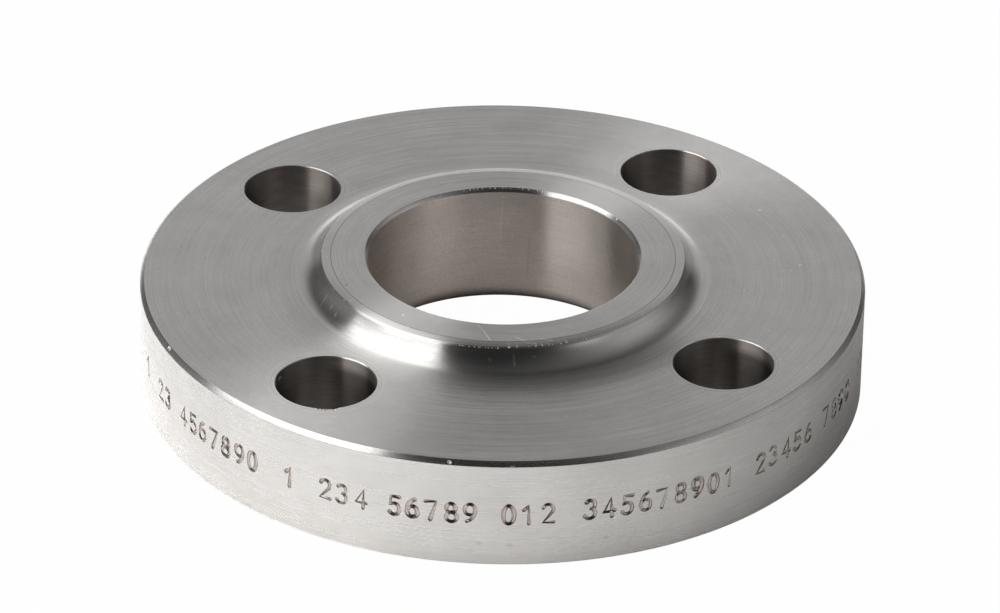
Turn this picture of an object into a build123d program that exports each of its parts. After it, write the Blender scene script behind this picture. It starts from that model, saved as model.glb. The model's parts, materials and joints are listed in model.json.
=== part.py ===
from build123d import *
import math
import os

# Lap joint flange for 1 1/4 inch pipe, forged and turned in one piece.
# Millimetres. The origin is the centre of the bore on the flat mating face, and
# +Z points along the bore to the hub. The loose flange slides over a pipe's stub
# end, whose lap it presses against the other flange of the joint.

# Flange disc
flange_diameter = 117.1
flange_thickness = 18.6
rim_top_chamfer = 0.7
rim_bottom_chamfer = 0.5

# Hub, which stands above the face that the nuts bear on
hub_diameter = 59.1
hub_projection = 3.6
hub_root_fillet = 5.2
hub_edge_break = 0.3
hub_bevel_width = 1.5
hub_bevel_drop = 0.15

# Bore, with a large corner radius at the mating face that clears the stub end's
# own fillet
bore_diameter = 43.7
bore_corner_radius = 5.0
bore_top_chamfer = 0.55

# Bolt holes, which straddle the flange's two centre lines
bolt_circle_diameter = 88.9
bolt_hole_diameter = 15.9
bolt_hole_count = 4
bolt_hole_edge_break = 0.25

# How far a cutting tool runs past the metal
tool_overrun = 1.0


def turned_section():
    """Half of the flange's cross-section, from the bore out to the rim, as the
    lathe turns it: radius along X and height along Z."""
    bore_radius = bore_diameter / 2
    rim_radius = flange_diameter / 2
    hub_radius = hub_diameter / 2
    hub_top = flange_thickness + hub_projection

    # The hub's edge: a face bevel of a few degrees, then a small edge break
    edge_top = hub_top - hub_bevel_drop
    edge_bottom = edge_top - hub_edge_break
    bevel_outer = hub_radius - hub_edge_break
    bevel_inner = bevel_outer - hub_bevel_width

    # The root fillet is larger than the hub's side is high, so it makes the whole
    # side: it leaves the bolting face flat and steepens up to the hub's edge
    side_height = edge_bottom - flange_thickness
    root_turn = math.degrees(math.acos(1 - side_height / hub_root_fillet))
    root_outer = hub_radius + hub_root_fillet * math.sin(math.radians(root_turn))

    with BuildSketch(Plane.XZ) as section:
        with BuildLine():
            # Mating face, rim and bolting face, from the bore outwards and back
            Polyline(
                (bore_radius + bore_corner_radius, 0),
                (rim_radius - rim_bottom_chamfer, 0),
                (rim_radius, rim_bottom_chamfer),
                (rim_radius, flange_thickness - rim_top_chamfer),
                (rim_radius - rim_top_chamfer, flange_thickness),
                (root_outer, flange_thickness),
            )
            CenterArc(
                (root_outer, flange_thickness + hub_root_fillet),
                hub_root_fillet,
                270,
                -root_turn,
            )
            # Hub edge and face, then the bore's chamfer and wall
            Polyline(
                (hub_radius, edge_bottom),
                (bevel_outer, edge_top),
                (bevel_inner, hub_top),
                (bore_radius + bore_top_chamfer, hub_top),
                (bore_radius, hub_top - bore_top_chamfer),
                (bore_radius, bore_corner_radius),
            )
            CenterArc(
                (bore_radius + bore_corner_radius, bore_corner_radius),
                bore_corner_radius,
                180,
                90,
            )
        make_face()
    return section.sketch


def drilled_hole():
    """The metal that the drill and its countersink take out at one bolt hole,
    centred on Z: the hole and an edge break at each face of the flange."""
    hole_radius = bolt_hole_diameter / 2
    sink_radius = hole_radius + bolt_hole_edge_break + tool_overrun
    tool_bottom = -tool_overrun
    sink_top = flange_thickness + tool_overrun
    tool_top = flange_thickness + hub_projection + tool_overrun
    with BuildPart() as tool:
        with BuildSketch(Plane.XZ):
            with BuildLine():
                Polyline(
                    (0, tool_bottom),
                    (sink_radius, tool_bottom),
                    (hole_radius, bolt_hole_edge_break),
                    (hole_radius, flange_thickness - bolt_hole_edge_break),
                    (sink_radius, sink_top),
                    (sink_radius, tool_top),
                    (0, tool_top),
                    close=True,
                )
            make_face()
        revolve(axis=Axis.Z)
    return tool.part


def lap_joint_flange():
    """The whole flange: the turned blank, drilled through at the bolt circle."""
    first_hole_angle = 180 / bolt_hole_count
    with BuildPart() as flange:
        add(turned_section())
        revolve(axis=Axis.Z)
        with PolarLocations(bolt_circle_diameter / 2, bolt_hole_count, first_hole_angle):
            add(drilled_hole(), mode=Mode.SUBTRACT)
    return flange.part


flange = lap_joint_flange()
flange.label = "lap_joint_flange"

os.makedirs("parts", exist_ok=True)
export_step(flange, "parts/lap_joint_flange.step")

box = flange.bounding_box()
print("size", box.size, "lowest", round(box.min.Z, 3), "highest", round(box.max.Z, 3))
print("volume", round(flange.volume), "mm3, solids", len(flange.solids()))
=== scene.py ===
# %% [markdown]
# # A lap joint flange in turned stainless steel
# This lesson dresses one steel pipe flange: a thick disc with a low hub, a bore
# for a pipe's stub end and four bolt holes. It is one forging, turned all over,
# so it stays one piece here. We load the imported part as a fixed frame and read
# its sizes from it, so that the mesh that we make lies exactly where the part is.

# %% Load the frame
import json
import math
import random

import bmesh
import bpy
from mathutils import Matrix, Vector


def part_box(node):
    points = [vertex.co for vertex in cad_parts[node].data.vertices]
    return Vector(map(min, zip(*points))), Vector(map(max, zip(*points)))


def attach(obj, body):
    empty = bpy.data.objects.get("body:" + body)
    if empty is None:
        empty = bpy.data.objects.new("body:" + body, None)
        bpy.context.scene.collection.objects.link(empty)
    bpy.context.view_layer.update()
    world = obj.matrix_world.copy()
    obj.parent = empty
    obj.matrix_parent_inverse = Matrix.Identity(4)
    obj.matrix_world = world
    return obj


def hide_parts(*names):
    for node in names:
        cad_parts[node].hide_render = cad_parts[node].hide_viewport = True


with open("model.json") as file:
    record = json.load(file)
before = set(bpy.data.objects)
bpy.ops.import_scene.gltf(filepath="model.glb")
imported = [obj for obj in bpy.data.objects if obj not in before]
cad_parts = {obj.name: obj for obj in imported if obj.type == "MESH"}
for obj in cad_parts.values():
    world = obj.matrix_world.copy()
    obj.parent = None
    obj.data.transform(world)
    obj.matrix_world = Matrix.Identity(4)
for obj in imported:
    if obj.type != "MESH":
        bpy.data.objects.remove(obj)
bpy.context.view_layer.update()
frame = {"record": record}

NODE = "lap_joint_flange"
BODY = "root"
MM = 0.001

mounts = {m["name"]: m for m in frame["record"]["mounts"]}
part_low, part_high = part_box(NODE)

BORE_RADIUS = mounts["bore"]["dims"]["r_mm"] * MM
BOLT_CIRCLE_RADIUS = mounts["bolt_holes"]["dims"]["pcd_mm"] / 2 * MM
BOLT_HOLE_RADIUS = mounts["bolt_holes"]["dims"]["hole_r_mm"] * MM
BOLT_HOLE_COUNT = mounts["bolt_holes"]["dims"]["count"]
FLANGE_THICKNESS = mounts["bolting_face"]["pos_m"][2]
RIM_RADIUS = min(part_high.x, part_high.y, -part_low.x, -part_low.y)
HUB_TOP = part_high.z
print("rim radius", round(RIM_RADIUS / MM, 3), "mm, hub top at", round(HUB_TOP / MM, 3))

# %% [markdown]
# ## The camera
# A camera can be matched to a photograph by eye or by a fit. Here the ellipses of
# the rim, hub, bore and bolt holes were fitted, which gives the camera's place, its
# angle and a long lens. The bolt holes straddle the flange's X and Y axes, and in
# the view they are turned a little, so the camera stands a few degrees to one side.

# %% Place the camera
VIEW_TURN = math.radians(-6.93)
CAMERA_SIDE = -0.363 * MM
CAMERA_BACK = -823.95 * MM
CAMERA_HEIGHT = 488.68 * MM
CAMERA_PITCH = math.radians(30.025)
CAMERA_ROLL = math.radians(0.859)
SENSOR_WIDTH = 36.0
FOCAL_LENGTH = 211.34


def place_camera():
    """A camera that looks down on the flange from the front."""
    data = bpy.data.cameras.new("camera")
    data.sensor_width = SENSOR_WIDTH
    data.lens = FOCAL_LENGTH
    data.clip_start = 0.01
    camera = bpy.data.objects.new("camera", data)
    bpy.context.scene.collection.objects.link(camera)
    turn = Matrix.Rotation(VIEW_TURN, 4, "Z")
    place = Matrix.Translation((CAMERA_SIDE, CAMERA_BACK, CAMERA_HEIGHT))
    tilt = Matrix.Rotation(math.pi / 2 - CAMERA_PITCH, 4, "X")
    roll = Matrix.Rotation(CAMERA_ROLL, 4, "Z")
    camera.matrix_world = turn @ place @ tilt @ roll
    bpy.context.scene.camera = camera
    return camera


camera = place_camera()
print("camera at", [round(v, 3) for v in camera.matrix_world.translation])

# %% [markdown]
# ## The zones of the flange
# A lathe leaves another finish on each surface: fine rings on the faces, hoops
# round the rim, a duller bore, a brighter chamfer. One mesh can carry them all, if
# each face of the mesh knows its zone. A zone is a slot in the list of materials.

# %% Name the zones
ZONES = [
    "turned_face", "rim_band", "bore_wall", "cut_edge",
    "hub_root", "drilled_hole", "stamped_mark", "fresh_nick",
]
zone_index = {name: i for i, name in enumerate(ZONES)}
materials = {name: bpy.data.materials.new(name) for name in ZONES}
print(len(ZONES), "zones")

# %% [markdown]
# ## The turned section
# The real blank is turned on a lathe, and spin does the same in a mesh: half a
# section is carried once round the axis. These are the sizes of that section. The
# hub's root is the one curve in it that must be drawn with care, because polished
# steel shows how it bends: a fillet makes the whole side of the hub, and runs out
# into the face in a far larger arc that is only a few tenths of a millimetre high.

# %% Sizes of the turned section
HUB_RADIUS = 29.55 * MM
HUB_ROOT_FILLET = 5.2 * MM
RUN_OUT_RADIUS = 32.0 * MM
RUN_OUT_SLOPE = math.radians(8)
HUB_EDGE_BREAK = 0.3 * MM
HUB_BEVEL_WIDTH = 1.5 * MM
HUB_BEVEL_DROP = 0.15 * MM
BORE_CORNER_RADIUS = 5.0 * MM
BORE_TOP_CHAMFER = 0.55 * MM
RIM_TOP_CHAMFER = 0.7 * MM
RIM_BOTTOM_CHAMFER = 0.5 * MM
BOLT_HOLE_EDGE_BREAK = 0.12 * MM
SUPPORT_GAP = 0.1 * MM
EDGE_ROUND = 0.06 * MM
MERGE_GAP = 0.001 * MM


def hub_root():
    """The radii where the run-out and the fillet start, and the slope that the fillet ends at."""
    rise = HUB_TOP - HUB_BEVEL_DROP - HUB_EDGE_BREAK - FLANGE_THICKNESS
    fillet_rise = rise - RUN_OUT_RADIUS * (1 - math.cos(RUN_OUT_SLOPE))
    end_slope = math.acos(math.cos(RUN_OUT_SLOPE) - fillet_rise / HUB_ROOT_FILLET)
    fillet_start = HUB_RADIUS + HUB_ROOT_FILLET * (math.sin(end_slope) - math.sin(RUN_OUT_SLOPE))
    return fillet_start + RUN_OUT_RADIUS * math.sin(RUN_OUT_SLOPE), fillet_start, end_slope


root_start, fillet_start, root_end_slope = hub_root()
print("the root ends at a slope of", round(math.degrees(root_end_slope), 1), "degrees")

# %% [markdown]
# ## Corners and arcs of the section
# Most corners are drawn sharp here and broken later. Next to the bore's corner and
# the root, an extra corner lies 0.1 mm past the end of the curve, so that the wide
# flat face beside it starts with a narrow strip and keeps its flat shading. The root
# itself is two arcs. Spin draws them too: it carries one corner round a centre.

# %% Draw the half section
RUN_OUT_STEPS = 6
ROOT_STEPS = 14


def section_corners():
    """Corners of the half section before its edges are broken, as (radius, height), in order
    from the hub's edge over the bore and the rim to the foot of the root."""
    edge_top = HUB_TOP - HUB_BEVEL_DROP
    past_corner = BORE_CORNER_RADIUS + SUPPORT_GAP
    bevel_end = HUB_RADIUS - HUB_EDGE_BREAK - HUB_BEVEL_WIDTH
    return [
        (HUB_RADIUS, edge_top - HUB_EDGE_BREAK),
        (HUB_RADIUS - HUB_EDGE_BREAK, edge_top),
        (bevel_end, HUB_TOP),
        (BORE_RADIUS, HUB_TOP),
        (BORE_RADIUS, past_corner),
        (BORE_RADIUS, 0.0),
        (BORE_RADIUS + past_corner, 0.0),
        (RIM_RADIUS, 0.0),
        (RIM_RADIUS, FLANGE_THICKNESS),
        (root_start + SUPPORT_GAP, FLANGE_THICKNESS),
        (root_start, FLANGE_THICKNESS),
    ]


def bend_up(bm, start, centre, angle, steps):
    """Draw an arc of the section from a corner, and give back its other end."""
    made = bmesh.ops.spin(
        bm, geom=[start], cent=centre, axis=(0, 1, 0), dvec=(0, 0, 0), angle=angle, steps=steps,
        use_merge=False, use_duplicate=False,
    )
    return [v for v in made["geom_last"] if isinstance(v, bmesh.types.BMVert)][0]


def half_section():
    """The half section as lines in the plane of X and Z, in a bmesh."""
    bm = bmesh.new()
    corners = [bm.verts.new((r, 0.0, z)) for r, z in section_corners()]
    for pair in zip(corners, corners[1:]):
        bm.edges.new(pair)
    run_out_centre = (root_start, 0.0, FLANGE_THICKNESS + RUN_OUT_RADIUS)
    fillet_foot = FLANGE_THICKNESS + RUN_OUT_RADIUS * (1 - math.cos(RUN_OUT_SLOPE))
    fillet_centre = (
        fillet_start + HUB_ROOT_FILLET * math.sin(RUN_OUT_SLOPE), 0.0,
        fillet_foot + HUB_ROOT_FILLET * math.cos(RUN_OUT_SLOPE),
    )
    end = bend_up(bm, corners[-1], run_out_centre, RUN_OUT_SLOPE, RUN_OUT_STEPS)
    bend_up(bm, end, fillet_centre, root_end_slope - RUN_OUT_SLOPE, ROOT_STEPS)
    bmesh.ops.remove_doubles(bm, verts=bm.verts, dist=MERGE_GAP)
    return bm


section = half_section()
print("section:", len(section.verts), "corners and", len(section.edges), "lines")

# %% [markdown]
# ## Spin the blank and break its edges
# After the spin, each sharp corner is a ring of edges, which bevel breaks: with many
# segments it makes the bore's corner radius, and with one segment a chamfer. A
# second, very small bevel then rounds the edges of each chamfer, so that they catch
# the light as real edges do.

# %% Turn the blank
SPIN_STEPS = 480
CORNER_STEPS = 14
RING_NEAR = 0.002 * MM


def radius_of(point):
    """Distance from the bore's axis."""
    return math.hypot(point.x, point.y)


def ring_edges(bm, radius, height, near=RING_NEAR):
    """The edges that lie along one ring of the turned shape."""
    def on_ring(vert):
        return abs(radius_of(vert.co) - radius) < near and abs(vert.co.z - height) < near
    return [e for e in bm.edges if on_ring(e.verts[0]) and on_ring(e.verts[1])]


def break_ring(bm, radius, height, size, segments):
    """Bevel one ring: one segment is a chamfer, and more are a fillet."""
    edges = ring_edges(bm, radius, height)
    bmesh.ops.bevel(
        bm, geom=edges, offset=size, offset_type="OFFSET", affect="EDGES",
        segments=segments, profile=0.5, material=-1, clamp_overlap=False,
    )
    return len(edges)


def turned_blank(bm):
    """Spin a half section into the flange before it is drilled and stamped."""
    bmesh.ops.spin(
        bm, geom=bm.verts[:] + bm.edges[:], cent=(0, 0, 0), axis=(0, 0, 1), dvec=(0, 0, 0),
        angle=2 * math.pi, steps=SPIN_STEPS, use_merge=True, use_duplicate=False,
    )
    bmesh.ops.remove_doubles(bm, verts=bm.verts, dist=MERGE_GAP)
    break_ring(bm, BORE_RADIUS, 0.0, BORE_CORNER_RADIUS, CORNER_STEPS)
    break_ring(bm, RIM_RADIUS, 0.0, RIM_BOTTOM_CHAMFER, 1)
    break_ring(bm, RIM_RADIUS, FLANGE_THICKNESS, RIM_TOP_CHAMFER, 1)
    break_ring(bm, BORE_RADIUS, HUB_TOP, BORE_TOP_CHAMFER, 1)
    edge_top = HUB_TOP - HUB_BEVEL_DROP
    for radius, height in (
        (RIM_RADIUS, FLANGE_THICKNESS - RIM_TOP_CHAMFER),
        (RIM_RADIUS - RIM_TOP_CHAMFER, FLANGE_THICKNESS),
        (RIM_RADIUS, RIM_BOTTOM_CHAMFER),
        (RIM_RADIUS - RIM_BOTTOM_CHAMFER, 0.0),
        (BORE_RADIUS, HUB_TOP - BORE_TOP_CHAMFER),
        (BORE_RADIUS + BORE_TOP_CHAMFER, HUB_TOP),
        (HUB_RADIUS, edge_top - HUB_EDGE_BREAK),
        (HUB_RADIUS - HUB_EDGE_BREAK, edge_top),
    ):
        break_ring(bm, radius, height, EDGE_ROUND, 2)
    bmesh.ops.recalc_face_normals(bm, faces=bm.faces)
    return bm


blank = turned_blank(section)
print("turned blank:", len(blank.faces), "faces")

# %% [markdown]
# ## Which zone a face lies in
# After the spin, the place of a face says what it is: its distance from the axis,
# its height and the way it faces are enough. The way it faces is the height of its
# normal, which is 0 on an upright wall and 1 on a flat.

# %% Sort the faces into zones
UPRIGHT_UP_TO = 0.1
SLOPES_UP_TO = 0.98
FLAT_FROM = 0.999


def zone_of(face):
    """The name of the zone that a face of the turned blank lies in."""
    middle = face.calc_center_median()
    radius, height, up = radius_of(middle), middle.z, face.normal.z
    margin = EDGE_ROUND * 2
    if radius > RIM_RADIUS - margin and abs(up) < UPRIGHT_UP_TO:
        return "rim_band"
    if radius < BORE_RADIUS + margin and abs(up) < UPRIGHT_UP_TO:
        return "bore_wall"
    if height < BORE_CORNER_RADIUS and radius < BORE_RADIUS + BORE_CORNER_RADIUS and up > -FLAT_FROM:
        return "bore_wall"
    if HUB_RADIUS - EDGE_ROUND / 2 < radius < fillet_start and height > FLANGE_THICKNESS - margin:
        return "hub_root"
    if abs(up) < SLOPES_UP_TO:
        return "cut_edge"
    return "turned_face"


def sort_zones(bm):
    """Give every face its zone's place in the list of materials."""
    counts = dict.fromkeys(ZONES, 0)
    for face in bm.faces:
        name = zone_of(face)
        face.material_index = zone_index[name]
        counts[name] += 1
    return counts


print(sort_zones(blank))

# %% [markdown]
# ## Bolt holes
# A drill makes a round hole and a countersink breaks its edge at both faces. The
# cutter below is that drill: a section spun round the hole's own axis, which a
# boolean takes away from the blank.

# %% Model the drill
HOLE_STEPS = 96
OVERRUN = 1.0 * MM
SINK_SLOPES = (0.3, 0.95)


def add_drill(bm, centre):
    """Add the metal that one bolt hole takes away."""
    sink = BOLT_HOLE_RADIUS + BOLT_HOLE_EDGE_BREAK + OVERRUN
    outline = [
        (0.0, -OVERRUN),
        (sink, -OVERRUN),
        (BOLT_HOLE_RADIUS, BOLT_HOLE_EDGE_BREAK),
        (BOLT_HOLE_RADIUS, FLANGE_THICKNESS - BOLT_HOLE_EDGE_BREAK),
        (sink, FLANGE_THICKNESS + OVERRUN),
        (0.0, FLANGE_THICKNESS + OVERRUN),
    ]
    points = [bm.verts.new((centre.x + r, centre.y, z)) for r, z in outline]
    lines = [bm.edges.new(pair) for pair in zip(points, points[1:])]
    bmesh.ops.spin(
        bm, geom=points + lines, cent=centre, axis=(0, 0, 1), dvec=(0, 0, 0),
        angle=2 * math.pi, steps=HOLE_STEPS, use_merge=True, use_duplicate=False,
    )


def drills():
    """The drills of all the bolt holes, as a bmesh."""
    bm = bmesh.new()
    for k in range(BOLT_HOLE_COUNT):
        angle = 2 * math.pi * (k + 0.5) / BOLT_HOLE_COUNT
        add_drill(bm, Vector((math.cos(angle), math.sin(angle), 0)) * BOLT_CIRCLE_RADIUS)
    bmesh.ops.remove_doubles(bm, verts=bm.verts, dist=MERGE_GAP)
    bmesh.ops.recalc_face_normals(bm, faces=bm.faces)
    for face in bm.faces:
        sink = SINK_SLOPES[0] < abs(face.normal.z) < SINK_SLOPES[1]
        face.material_index = zone_index["cut_edge" if sink else "drilled_hole"]
    return bm


print(BOLT_HOLE_COUNT, "drills of", round(2 * BOLT_HOLE_RADIUS / MM, 2), "mm")

# %% [markdown]
# ## Stamped figures
# The rim carries a band of figures, struck one by one with hand punches. They are
# plain figures in counting order, in groups of several lengths. Each figure is a few
# strokes: straight lines and arcs of an ellipse, in a box that is one wide and one
# high. A round tube along each stroke is the punch, and the boolean leaves its
# groove in the rim.

# %% Draw the figures 0 to 9
def arc(centre, size, start, end, points=14):
    """Points along an ellipse's arc. Angles are in degrees, counted from the right."""
    steps = [start + (end - start) * i / (points - 1) for i in range(points)]
    return [
        (centre[0] + size[0] * math.cos(math.radians(a)), centre[1] + size[1] * math.sin(math.radians(a)))
        for a in steps
    ]


def turned(strokes):
    """Strokes turned half way round in their box, which makes a 9 of a 6."""
    return [[(1 - u, 1 - v) for u, v in stroke] for stroke in strokes]


SIX = [
    arc((1.02, 0.3), (1.0, 0.7), 108, 180, 8) + arc((0.5, 0.3), (0.48, 0.3), 180, 540, 22)[1:],
]
FIGURES = {
    "0": [arc((0.5, 0.5), (0.48, 0.5), 90, 450, 26)],
    "1": [[(0.12, 0.76), (0.34, 0.88), (0.55, 1.0), (0.55, 0.0)]],
    "2": [arc((0.5, 0.73), (0.46, 0.27), 165, -38) + [(0.04, 0.0), (1.0, 0.0)]],
    "3": [arc((0.46, 0.76), (0.42, 0.24), 150, -80, 12) + arc((0.46, 0.27), (0.5, 0.27), 80, -150)],
    "4": [[(0.72, 0.0), (0.72, 1.0), (0.0, 0.3), (1.0, 0.3)]],
    "5": [[(0.92, 1.0), (0.16, 1.0), (0.08, 0.56)] + arc((0.46, 0.32), (0.5, 0.32), 125, -145)],
    "6": SIX,
    "7": [[(0.0, 1.0), (1.0, 1.0), (0.34, 0.0)]],
    "8": [arc((0.5, 0.76), (0.4, 0.24), 90, 450, 20), arc((0.5, 0.26), (0.48, 0.26), 90, 450, 22)],
    "9": turned(SIX),
}
print(len(FIGURES), "figures")

# %% [markdown]
# ## Where the figures stand
# A group is written as the angle of its first figure, in degrees round the bore, and
# how many figures it has. All stand on the side that faces the camera. Hand punches
# never land quite level, upright or equally deep, so each figure gets a small shift,
# lift, lean, tip and depth of its own from a seeded random source. The lie is how far
# the middle of the punch stays outside the rim.

# %% Set out the band
FIGURE_WIDTH = 1.72 * MM
FIGURE_HEIGHT = 3.25 * MM
FIGURE_PITCH = 3.02 * MM
BAND_HEIGHT = 9.4 * MM
GROUPS = [
    (-171.4, 1), (-164.5, 2), (-155.8, 7), (-130.9, 1), (-124.4, 3), (-113.1, 5),
    (-95.6, 3), (-83.2, 9), (-52.9, 5), (-35.4, 4), (-19.0, 3), (-6.0, 5),
]
PUNCH_RADII = (0.31 * MM, 0.46 * MM)
SHIFT_MM = 0.18
LIFT_MM = 0.14
LEAN_DEGREES = 3.5
LIE_MM = (0.04, 0.15)
TIP_ACROSS = 0.07
TIP_UP = 0.035
punch_random = random.Random(14)


def either_way(amount):
    """A random number that lies up to an amount to either side of 0."""
    return punch_random.uniform(-amount, amount)


def figure_places():
    """Every figure of the band: its text, the angle of its centre and its jitter."""
    places = []
    count = 1
    for start, length in GROUPS:
        for i in range(length):
            angle = math.radians(start) + i * FIGURE_PITCH / RIM_RADIUS
            angle += either_way(SHIFT_MM) * MM / RIM_RADIUS
            places.append({
                "text": str(count % 10),
                "angle": angle,
                "lift": either_way(LIFT_MM) * MM,
                "lean": math.radians(either_way(LEAN_DEGREES)),
                "radius": punch_random.uniform(*PUNCH_RADII),
                "lie": punch_random.uniform(*LIE_MM) * MM,
                "tip": (either_way(TIP_ACROSS), either_way(TIP_UP)),
            })
            count += 1
    return places


places = figure_places()
print(len(places), "figures on the rim")

# %% [markdown]
# ## From strokes to tubes
# A curve with a round bevel turns a stroke into a tube, and a small ball rounds each
# of its ends. A stroke that ends where it starts, as in a 0, is closed instead.

# %% Make a stroke into a tube
PUNCH_SIDES = 2
BALL_DETAIL = 2
CLOSED_GAP = 0.01 * MM


def stroke_tube(bm, points, radius):
    """Add a tube along a flat stroke, with a ball at each end."""
    data = bpy.data.curves.new("stroke", "CURVE")
    data.dimensions = "3D"
    data.bevel_depth = radius
    data.bevel_resolution = PUNCH_SIDES
    data.use_fill_caps = True
    closed = (Vector(points[0]) - Vector(points[-1])).length < CLOSED_GAP
    line = points[:-1] if closed else points
    spline = data.splines.new("POLY")
    spline.points.add(len(line) - 1)
    for place, (u, v) in zip(spline.points, line):
        place.co = (u, v, 0.0, 1.0)
    spline.use_cyclic_u = closed
    holder = bpy.data.objects.new("stroke", data)
    mesh = bpy.data.meshes.new_from_object(holder)
    bm.from_mesh(mesh)
    bpy.data.objects.remove(holder)
    bpy.data.curves.remove(data)
    bpy.data.meshes.remove(mesh)
    if not closed:
        for u, v in (points[0], points[-1]):
            ball = Matrix.Translation((u, v, 0.0))
            bmesh.ops.create_icosphere(bm, subdivisions=BALL_DETAIL, radius=radius, matrix=ball)


print("each tube has", 4 + 2 * PUNCH_SIDES, "sides")

# %% [markdown]
# ## From tubes to punches
# The tubes of a figure are made flat first and then bent round the rim: a point's
# distance along the band becomes an angle, and its depth becomes a radius.

# %% Bend the punches round the rim
def punch(place):
    """One figure's punch, bent round the rim, as a bmesh."""
    bm = bmesh.new()
    slant = Matrix.Rotation(place["lean"], 2)
    for stroke in FIGURES[place["text"]]:
        flat = []
        for u, v in stroke:
            corner = Vector(((u - 0.5) * FIGURE_WIDTH, (v - 0.5) * FIGURE_HEIGHT))
            flat.append(tuple(slant @ corner))
        stroke_tube(bm, flat, place["radius"])
    tip_across, tip_up = place["tip"]
    for vert in bm.verts:
        angle = place["angle"] + vert.co.x / RIM_RADIUS
        reach = RIM_RADIUS + place["lie"] + tip_across * vert.co.x + tip_up * vert.co.y + vert.co.z
        height = BAND_HEIGHT + place["lift"] + vert.co.y
        vert.co = (reach * math.cos(angle), reach * math.sin(angle), height)
    bmesh.ops.remove_doubles(bm, verts=bm.verts, dist=MERGE_GAP)
    bmesh.ops.recalc_face_normals(bm, faces=bm.faces)
    return bm


def punches():
    """All the punches of the band in one bmesh."""
    whole = bmesh.new()
    for place in places:
        single = punch(place)
        mesh = bpy.data.meshes.new("punch")
        single.to_mesh(mesh)
        single.free()
        whole.from_mesh(mesh)
        bpy.data.meshes.remove(mesh)
    for face in whole.faces:
        face.material_index = zone_index["stamped_mark"]
    return whole


print(sum(len(FIGURES[place["text"]]) for place in places), "strokes to punch")

# %% [markdown]
# ## Nicks
# Handling has left nicks in the edges. Each is the dent of a small ball that is
# squashed and turned at random. Single nicks are set out one by one, and runs of tiny
# ones make an edge look ragged. Angles are degrees round the bore, or round the bolt
# hole at the left front, and lengths are in mm.

# %% Set out the nicks
HOLE_OFFSET_MM = BOLT_CIRCLE_RADIUS / MM * math.sqrt(0.5)
BORE = (0.0, 0.0)
LEFT_HOLE = (-HOLE_OFFSET_MM, -HOLE_OFFSET_MM)


def nick_run(about, angles, count, radius, height, size):
    """A run of nicks between two angles, as one row of the list."""
    return dict(about=about, angles=angles, count=count, radius=radius, height=height, size=size)


NICKS = [
    nick_run(BORE, (198.0, 198.9), 2, radius=58.25, height=18.35, size=0.34),
    nick_run(BORE, (255.4, 255.4), 1, radius=58.35, height=18.3, size=0.36),
    nick_run(BORE, (262.9, 266.2), 4, radius=58.3, height=18.45, size=0.16),
    nick_run(BORE, (264.5, 265.2), 2, radius=58.5, height=17.95, size=0.18),
    nick_run(BORE, (67.1, 67.1), 1, radius=22.2, height=22.1, size=0.3),
    nick_run(BORE, (68.5, 101.0), 16, radius=22.25, height=22.1, size=0.15),
    nick_run(BORE, (26.0, 28.5), 3, radius=22.25, height=22.1, size=0.2),
    nick_run(BORE, (168.0, 172.6), 4, radius=29.3, height=22.05, size=0.16),
    nick_run(BORE, (249.0, 263.0), 12, radius=29.45, height=21.95, size=0.13),
    nick_run(BORE, (263.0, 292.0), 13, radius=29.3, height=22.05, size=0.13),
    nick_run(BORE, (196.0, 246.0), 7, radius=29.45, height=21.95, size=0.1),
    nick_run(LEFT_HOLE, (148.0, 154.0), 2, radius=8.0, height=17.3, size=0.42),
    nick_run(LEFT_HOLE, (254.0, 280.0), 9, radius=8.15, height=18.55, size=0.36),
]
print(sum(run["count"] for run in NICKS), "nicks in", len(NICKS), "runs")

# %% [markdown]
# ## Build the nicks
# Each nick's size, height and turn vary a little, again from a seeded random source,
# and the ball is stretched across and up by its own amounts.

# %% Make the balls
BALL_SIZES = (0.7, 1.25)
BALL_LIFT = 0.4
BALL_TURN = 0.5
BALL_TIP = 0.6
BALL_WIDTHS = (0.6, 1.2)
BALL_HEIGHTS = (0.7, 1.1)
nick_random = random.Random(5)


def nicks():
    """All the dents in one bmesh."""
    bm = bmesh.new()
    for run in NICKS:
        first, last = run["angles"]
        for i in range(run["count"]):
            angle = math.radians(first + (last - first) * (i + nick_random.random()) / run["count"])
            size = run["size"] * nick_random.uniform(*BALL_SIZES)
            centre = Vector((
                run["about"][0] + run["radius"] * math.cos(angle),
                run["about"][1] + run["radius"] * math.sin(angle),
                run["height"] + nick_random.uniform(0.0, BALL_LIFT) * size,
            )) * MM
            turn = Matrix.Rotation(angle + nick_random.uniform(-BALL_TURN, BALL_TURN), 4, "Z")
            tip = Matrix.Rotation(nick_random.uniform(-BALL_TIP, BALL_TIP), 4, "X")
            width, tall = nick_random.uniform(*BALL_WIDTHS), nick_random.uniform(*BALL_HEIGHTS)
            shape = Matrix.Diagonal((1.0, width, tall, 1.0))
            bmesh.ops.create_icosphere(
                bm, subdivisions=BALL_DETAIL, radius=size * MM,
                matrix=Matrix.Translation(centre) @ turn @ tip @ shape,
            )
    for face in bm.faces:
        face.material_index = zone_index["fresh_nick"]
    return bm


print("the largest ball is", round(max(run["size"] for run in NICKS) * BALL_SIZES[1], 2), "mm in radius")

# %% [markdown]
# ## Cut the blank
# A boolean modifier takes the cutters away, and its result replaces the mesh. The
# cut faces keep the zone of the cutter, so the holes and grooves have their own
# finish.

# %% Drill, stamp and nick
def piece_from(bm, name):
    """An object at the origin with a mesh made from a bmesh, and every material."""
    mesh = bpy.data.meshes.new(name)
    bm.to_mesh(mesh)
    bm.free()
    for zone in ZONES:
        mesh.materials.append(materials[zone])
    piece = bpy.data.objects.new(name, mesh)
    bpy.context.scene.collection.objects.link(piece)
    return piece


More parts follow.
